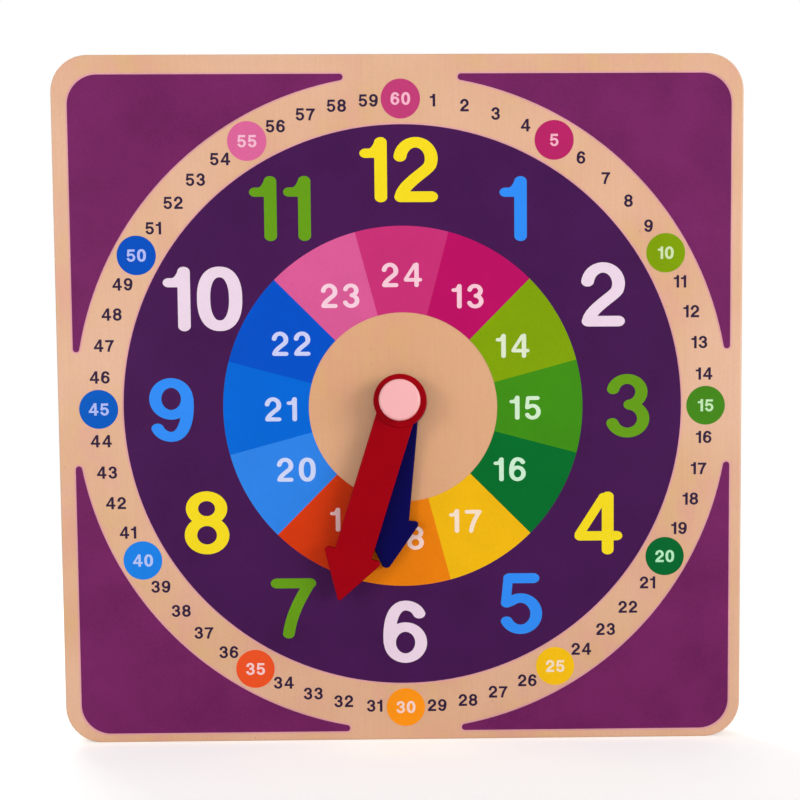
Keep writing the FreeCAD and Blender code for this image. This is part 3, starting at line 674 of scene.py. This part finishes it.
def typeface(height, pen, gap, round_ends=True):
    """All ten figures at one height, with the gap between two of them, in millimetres."""
    drawn = {character: figure(character, height, pen, round_ends) for character in FIGURES}
    return {"height": height, "gap": gap, "figures": drawn}


def number_patches(face, text, middle, material=0):
    """The patches of a number whose middle is there."""
    parts = [face["figures"][character] for character in text]
    width = sum(part[2] for part in parts) + face["gap"] * (len(parts) - 1)
    x, z = middle[0] - width / 2, middle[1] - face["height"] / 2
    made = []
    for points, triangles, wide in parts:
        made.append(([(x + px, z + pz) for px, pz in points], triangles, material))
        x += wide + face["gap"]
    return made


print("a 1 that is 10 mm high is", round(figure("1", 10, (0.2, 0.16), True)[2], 1), "mm wide")

# %% [markdown]
# Three sizes of figures are needed. The hours are read from across a classroom, the second twelve are less
# than half as high, and the minutes are small and bold. A pen is the width and height of the brush's tip,
# both as shares of the figure's height. The large numbers of this dial don't lie on exact circles, so each
# of them is nudged, in steps of half a millimetre: so many millimetres right, and up.

# %% Print the hours
HOUR_LINE = 100.2
HOUR_HEIGHT = 27.8
HOUR_PEN = (0.203, 0.162)
HOUR_GAP = 2.9
HOUR_NUDGES = {
    1: (-1.5, -1), 2: (1, -1.5), 3: (-1.5, 0), 4: (-1, -1.5), 5: (1.5, 0), 6: (0, 1),
    7: (1, -1), 8: (0, 0), 9: (-1, -0.5), 10: (0, -2.5), 11: (-2.5, -0.5), 12: (-1, 2.5),
}
HOUR_INKS = [
    ("sun_yellow_ink", "F6DC20"),
    ("bright_blue_ink", "318CF6"),
    ("white_ink", "EDD7E8"),
    ("green_ink", "659C17"),
]
hour_face = typeface(HOUR_HEIGHT, HOUR_PEN, HOUR_GAP)
for turn_of_four, (ink_name, hex_colour) in enumerate(HOUR_INKS):
    patches = []
    for hour in range(1, 13):
        if hour % 4 == turn_of_four:
            middle = clock_place(HOUR_LINE, hour, HOUR_NUDGES[hour])
            patches += number_patches(hour_face, str(hour), middle)
    piece_name = "hours_in_" + ink_name.removesuffix("_ink")
    film(piece_name, patches, 3, [ink(ink_name, hex_colour, drift=0.03)])

# %% [markdown]
# The white of the second twelve and of the fifth minutes is one thin pass over strong colours. Some of the
# colour under it shows through, so each number is a pale tint of its own segment or dot. How much of it
# the white covers is its cover. On the yellow and the two orange dots a thin white would be lost, so it is
# laid on thicker there.

# %% Print the second twelve
THIN_WHITE = "FCF8FB"
SECOND_LINE = 55.0
SECOND_HEIGHT = 10.5
SECOND_PEN = (0.200, 0.162)
SECOND_GAP = 2.4
SECOND_COVER = 0.62
SECOND_NUDGES = {
    13: (1, 0.5), 14: (0.5, -1), 15: (-1.5, -0.5), 16: (-1, 0), 17: (-0.5, -2.5), 18: (1.5, -2.5),
    19: (2, -1.5), 20: (0.5, 0.5), 21: (1.5, -0.5), 22: (-1, 0.5), 23: (0.5, 1), 24: (0, 2.5),
}
second_face = typeface(SECOND_HEIGHT, SECOND_PEN, SECOND_GAP)
patches, inks = [], []
for number, (hour, (ink_name, hex_colour)) in enumerate(SEGMENT_COLOURS.items()):
    middle = clock_place(SECOND_LINE, hour, SECOND_NUDGES[hour])
    patches += number_patches(second_face, str(hour), middle, number)
    name = "thin_white_over_" + ink_name
    inks.append(ink(name, THIN_WHITE, drift=0.03, under=hex_colour, cover=SECOND_COVER))
film("second_twelve", patches, 4, inks)

# %% [markdown]
# The minutes on bare wood are one dark navy ink, and those on the dots are thin white. The minutes' figures
# have square ends, and their brush is heavier for their size, so that they stay readable.

# %% Print the minutes
MINUTE_HEIGHT = 5.4
MINUTE_PEN = (0.218, 0.182)
MINUTE_GAP = 0.80
FIFTH_COVER = 0.46
WARM_COVER = 0.63
WARM_MINUTES = (25, 30, 35)
minute_face = typeface(MINUTE_HEIGHT, MINUTE_PEN, MINUTE_GAP, round_ends=False)
on_wood, on_dots, inks = [], [], []
for minute in range(1, 61):
    spot = clock_place(MINUTE_LINE, minute / 5)
    if minute in DOT_COLOURS:
        ink_name, hex_colour = DOT_COLOURS[minute]
        on_dots += number_patches(minute_face, str(minute), spot, len(inks))
        cover = WARM_COVER if minute in WARM_MINUTES else FIFTH_COVER
        name = "thin_white_over_" + ink_name
        inks.append(ink(name, THIN_WHITE, drift=0.03, under=hex_colour, cover=cover))
    else:
        on_wood += number_patches(minute_face, str(minute), spot)
film("minutes", on_wood, 1, [ink("navy_ink", "33203E", drift=0.05)])
film("fifth_minutes", on_dots, 2, inks)

# %% [markdown]
# ## Wood
# The board is birch plywood, sanded and varnished. Birch is a pale, very even wood. Its grain hardly shows,
# and runs upwards here, so the noises of the grain and its patches are drawn out along Z. What the eye finds
# is soft patches, pinker or yellower than the rest, a fine tooth of pores, and now and then a dark fleck.
# The middle is painted a little darker, as painted shade around the hub, fading out between two radii. The
# back is sanded less and shows more grain. These are laid over each other as layers of colour, each with
# what decides where it shows.
#
# The edges show nine plies as thin bands, cut in turn along the grain and across it. Face and edge are told
# apart by which way the surface looks. The two outer plies are cut along the grain like the faces, so the
# count starts half a ply below the back.

# %% Birch plywood
WOOD_NOISES = {
    # name: (wide in mm, long in mm, detail)
    "grain": (1.1, 30, 3),
    "patch": (9, 14, 2),
    "shade": (45, 45, 1),
    "pore": (0.9, 0.9, 2),
    "fleck": (0.7, 2.2, 0),
}
PLY = 12 / 9 * MM
GLUE_LINE = 0.08
# the painted shade around the hub is full inside the first radius and fades out by the second
PAINTED_SHADE_IN = 42 * MM
PAINTED_SHADE_OUT = 75 * MM
EDGE_ON = 0.8


def birch_plywood():
    material, tree, shader = blank("birch_plywood", Roughness=0.42, Coat_Weight=0.15, Coat_Roughness=0.25)
    place = add(tree, "ShaderNodeTexCoord")
    spot = place.outputs["Object"]
    noise = {}
    for name, (wide, long, detail) in WOOD_NOISES.items():
        size = (across(wide), across(wide), across(long))
        laid = add(tree, "ShaderNodeMapping", {"Vector": spot, "Scale": size}).outputs["Vector"]
        made = add(tree, "ShaderNodeTexNoise", {"Vector": laid, "Scale": 1.0, "Detail": detail})
        noise[name] = made.outputs["Fac"]
    fine = add(tree, "ShaderNodeMix", {0: 0.5, 2: noise["grain"], 3: noise["pore"]}).outputs[0]
    flat = add(tree, "ShaderNodeVectorMath", {0: spot, 1: (1, 0, 1)}, operation="MULTIPLY").outputs["Vector"]
    radius = add(tree, "ShaderNodeVectorMath", {0: flat}, operation="LENGTH").outputs["Value"]
    looks_y = add(tree, "ShaderNodeSeparateXYZ", {0: place.outputs["Normal"]}).outputs["Y"]
    sanding = {"Value": looks_y, "From Min": -0.5, "From Max": 0.5, "To Min": 0.25, "To Max": 0.55}
    rough_side = add(tree, "ShaderNodeMapRange", sanding).outputs["Result"]

    face = linear("DFA48A")
    layers = [
        # what decides, from where, to where, share there, share here, colour
        (noise["patch"], 0.35, 0.65, 0.0, 1.0, "DEAE7E"),
        (noise["shade"], 0.35, 0.65, 0.0, 1.0, "E5B494"),
        # painted shade: the middle of the board is painted darker towards the hub
        (radius, PAINTED_SHADE_IN, PAINTED_SHADE_OUT, 0.5, 0.0, "DC9F68"),
        (fine, 0.35, 0.75, 0.0, rough_side, "C48E68"),
        (noise["fleck"], 0.84, 0.90, 0.0, 0.4, "8A5F3C"),
    ]
    for value, low, high, least, most, colour in layers:
        spread = {"Value": value, "From Min": low, "From Max": high, "To Min": least, "To Max": most}
        share = add(tree, "ShaderNodeMapRange", spread).outputs["Result"]
        mix = add(tree, "ShaderNodeMix", {0: share, 6: face, 7: linear(colour)}, data_type="RGBA")
        face = mix.outputs[2]

    deep = add(tree, "ShaderNodeSeparateXYZ", {0: spot}).outputs["Y"]
    counted = add(tree, "ShaderNodeMath", {0: deep, 1: PLY / 2}, operation="ADD").outputs[0]
    plies = add(tree, "ShaderNodeMath", {0: counted, 1: PLY}, operation="PINGPONG").outputs[0]
    glue = {"Value": plies, "From Min": (0.5 - GLUE_LINE) * PLY, "From Max": (0.5 + GLUE_LINE) * PLY}
    cross = add(tree, "ShaderNodeMapRange", glue).outputs["Result"]
    cuts = []
    for pale, dark in (("D9AE82", "C99B6C"), ("B98A5E", "94673F")):
        tones = {0: noise["pore"], 6: linear(pale), 7: linear(dark)}
        cuts.append(add(tree, "ShaderNodeMix", tones, data_type="RGBA").outputs[2])
    edge = add(tree, "ShaderNodeMix", {0: cross, 6: cuts[0], 7: cuts[1]}, data_type="RGBA").outputs[2]

    level = add(tree, "ShaderNodeMath", {0: looks_y}, operation="ABSOLUTE").outputs[0]
    facing = add(tree, "ShaderNodeMath", {0: level, 1: EDGE_ON}, operation="GREATER_THAN").outputs[0]
    wood = add(tree, "ShaderNodeMix", {0: facing, 6: edge, 7: face}, data_type="RGBA")
    bump = add(tree, "ShaderNodeBump", {"Strength": 0.25, "Distance": 0.05 * MM, "Height": noise["grain"]})
    tree.links.new(wood.outputs[2], shader.inputs["Base Color"])
    tree.links.new(bump.outputs["Normal"], shader.inputs["Normal"])
    return material


print("nine plies of", round(PLY / MM, 2), "mm, seen at the board's edges")

# %% [markdown]
# ## Plastic
# The hands and the cap are moulded ABS, dyed through. A polished mould leaves the faintest ripple, called
# orange peel, and handling leaves the shine a little uneven. The hands' gloss is turned low: their flat
# faces would mirror the white room, and the deep red and blue would go pale. The gears are acetal and the
# washers nylon. Both are white, a bit waxy, and let light in under the skin. The cover over the gears is
# clear polycarbonate: seen straight through from behind, and less clear where it is seen at a slant.

# %% Plastics
PEEL = 2.2
PEEL_HIGH = 0.03
HANDLING = 14
UNEVEN = 0.05


def moulded(name, hex_colour, roughness, glow=0.0, depth=0.4, ior=1.5, gloss=0.5):
    """A moulded plastic. glow is the share of light that enters it, to that depth in millimetres."""
    material, tree, shader = blank(name, Subsurface_Weight=glow, Subsurface_Scale=depth * MM, IOR=ior)
    shader.inputs["Specular IOR Level"].default_value = gloss
    spot = add(tree, "ShaderNodeTexCoord").outputs["Object"]
    skin = add(tree, "ShaderNodeTexNoise", {"Vector": spot, "Scale": across(PEEL), "Detail": 1})
    touch = add(tree, "ShaderNodeTexNoise", {"Vector": spot, "Scale": across(HANDLING), "Detail": 3})
    rough = {**NOISE_RANGE, "To Min": roughness - UNEVEN, "To Max": roughness + UNEVEN}
    shine = add(tree, "ShaderNodeMapRange", {"Value": touch.outputs["Fac"], **rough})
    tint = {"Value": touch.outputs["Fac"], "To Min": 1 - UNEVEN, "To Max": 1 + UNEVEN}
    gain = add(tree, "ShaderNodeMapRange", tint).outputs["Result"]
    dyed = linear(hex_colour)[:3]
    colour = add(tree, "ShaderNodeVectorMath", {0: dyed, 1: gain}, operation="MULTIPLY")
    ripple = {"Strength": 0.3, "Distance": PEEL_HIGH * MM, "Height": skin.outputs["Fac"]}
    bump = add(tree, "ShaderNodeBump", ripple)
    tree.links.new(colour.outputs["Vector"], shader.inputs["Base Color"])
    tree.links.new(shine.outputs["Result"], shader.inputs["Roughness"])
    tree.links.new(bump.outputs["Normal"], shader.inputs["Normal"])
    return material


def clear_sheet():
    """Polycarbonate sheet: clear, smooth, with a shine at its edges."""
    material, tree, shader = blank("clear_polycarbonate", Base_Color=linear("E9F4F6"), IOR=1.585)
    material.blend_method = "BLEND"
    spot = add(tree, "ShaderNodeTexCoord").outputs["Object"]
    touch = add(tree, "ShaderNodeTexNoise", {"Vector": spot, "Scale": across(HANDLING), "Detail": 4})
    haze = add(tree, "ShaderNodeMapRange", {"Value": touch.outputs["Fac"], "To Min": 0.04, "To Max": 0.16})
    slant = add(tree, "ShaderNodeLayerWeight", {"Blend": 0.35}).outputs["Facing"]
    see = add(tree, "ShaderNodeMapRange", {"Value": slant, "To Min": 0.09, "To Max": 0.7})
    tree.links.new(haze.outputs["Result"], shader.inputs["Roughness"])
    tree.links.new(see.outputs["Result"], shader.inputs["Alpha"])
    return material


print("orange peel is", PEEL, "mm across and", PEEL_HIGH, "mm high")

# %% [markdown]
# ## Metal and felt
# Brass parts are turned, so fine rings run round their axis. The screws and the stud are steel with a
# bright zinc coat, which is slightly cloudy. The spring washer is stamped from rolled spring steel, which
# has a much finer mottle. The felt washer is pressed black wool: matt, with stray fibres that catch the
# light.

# %% Metals and felt
TOOL_MARK = 0.25
TOOL_MARK_HIGH = 0.01
ROLL_MARK = 0.3
ZINC_CLOUD = 3.0
CLOUD_HIGH = 0.01
FIBRE = 0.18
FIBRE_HIGH = 0.08


def turned_brass():
    material, tree, shader = blank("turned_brass", Base_Color=linear("DDB567"), Metallic=1.0, Roughness=0.26)
    spot = add(tree, "ShaderNodeTexCoord").outputs["Object"]
    flat = add(tree, "ShaderNodeVectorMath", {0: spot, 1: (1, 0, 1)}, operation="MULTIPLY").outputs["Vector"]
    radius = add(tree, "ShaderNodeVectorMath", {0: flat}, operation="LENGTH").outputs["Value"]
    marks = {"W": radius, "Scale": across(TOOL_MARK), "Detail": 2}
    rings = add(tree, "ShaderNodeTexNoise", marks, noise_dimensions="1D").outputs["Fac"]
    bump = add(tree, "ShaderNodeBump", {"Strength": 0.4, "Distance": TOOL_MARK_HIGH * MM, "Height": rings})
    tree.links.new(bump.outputs["Normal"], shader.inputs["Normal"])
    return material


def plated_steel(name, hex_colour, cloud_mm, low, high):
    """Bright steel whose roughness wanders from low to high, in clouds that many millimetres across."""
    material, tree, shader = blank(name, Base_Color=linear(hex_colour), Metallic=1.0)
    spot = add(tree, "ShaderNodeTexCoord").outputs["Object"]
    clouds = {"Vector": spot, "Scale": across(cloud_mm), "Detail": 3}
    cloud = add(tree, "ShaderNodeTexNoise", clouds).outputs["Fac"]
    rough = add(tree, "ShaderNodeMapRange", {"Value": cloud, "To Min": low, "To Max": high})
    bump = add(tree, "ShaderNodeBump", {"Strength": 0.15, "Distance": CLOUD_HIGH * MM, "Height": cloud})
    tree.links.new(rough.outputs["Result"], shader.inputs["Roughness"])
    tree.links.new(bump.outputs["Normal"], shader.inputs["Normal"])
    return material


def pressed_felt():
    material, tree, shader = blank("pressed_felt", Roughness=0.95, Sheen_Weight=0.6, Sheen_Roughness=0.5)
    spot = add(tree, "ShaderNodeTexCoord").outputs["Object"]
    strands = {"Vector": spot, "Scale": across(FIBRE), "Detail": 3, "Distortion": 1.5}
    fibres = add(tree, "ShaderNodeTexNoise", strands).outputs["Fac"]
    tones = {0: fibres, 6: linear("131215"), 7: linear("34323A")}
    wool = add(tree, "ShaderNodeMix", tones, data_type="RGBA")
    bump = add(tree, "ShaderNodeBump", {"Strength": 0.8, "Distance": FIBRE_HIGH * MM, "Height": fibres})
    tree.links.new(wool.outputs[2], shader.inputs["Base Color"])
    tree.links.new(bump.outputs["Normal"], shader.inputs["Normal"])
    return material


print("felt fibres are", FIBRE, "mm thick, and tool marks on brass", TOOL_MARK, "mm wide")

# %% [markdown]
# Every node of the frame now gets its real material. A node keeps its mesh, and only its material slots
# are filled.

# %% Dress the frame
acetal = moulded("natural_acetal", "F1ECDF", 0.34, glow=0.35, depth=1.2, ior=1.48)
nylon = moulded("white_nylon", "ECE7DA", 0.45, glow=0.3, depth=0.8, ior=1.53)
brass = turned_brass()
zinc = plated_steel("zinc_plated_steel", "C6CAD0", ZINC_CLOUD, 0.22, 0.42)
DRESS = {
    "dial_board": birch_plywood(),
    "minute_hand": moulded("red_abs", "9D0010", 0.28, gloss=0.04),
    "hour_hand": moulded("blue_abs", "090550", 0.28, gloss=0.04),
    "centre_cap": moulded("pink_abs", "F9B5B7", 0.22, glow=0.1, gloss=0.3),
    "centre_bush": brass,
    "minute_arbor": brass,
    "hand_nut": brass,
    "gear_cover": clear_sheet(),
    "cover_screws": zinc,
    "idler_stud": zinc,
    "friction_spring": plated_steel("spring_steel", "B5B3AC", ROLL_MARK, 0.20, 0.34),
    "front_washer": pressed_felt(),
    "idler_gear": acetal,
    "hour_wheel": acetal,
    "minute_pinion": acetal,
    "idler_washer": nylon,
    "hour_washer": nylon,
    "pinion_washer": nylon,
    "hour_hand_bush": nylon,
    "hand_spacer": nylon,
}
for node_name, material in DRESS.items():
    for material_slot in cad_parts[node_name].material_slots:
        material_slot.material = material
print("dressed", len(DRESS), "nodes; left bare:", sorted(set(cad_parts) - set(DRESS)))
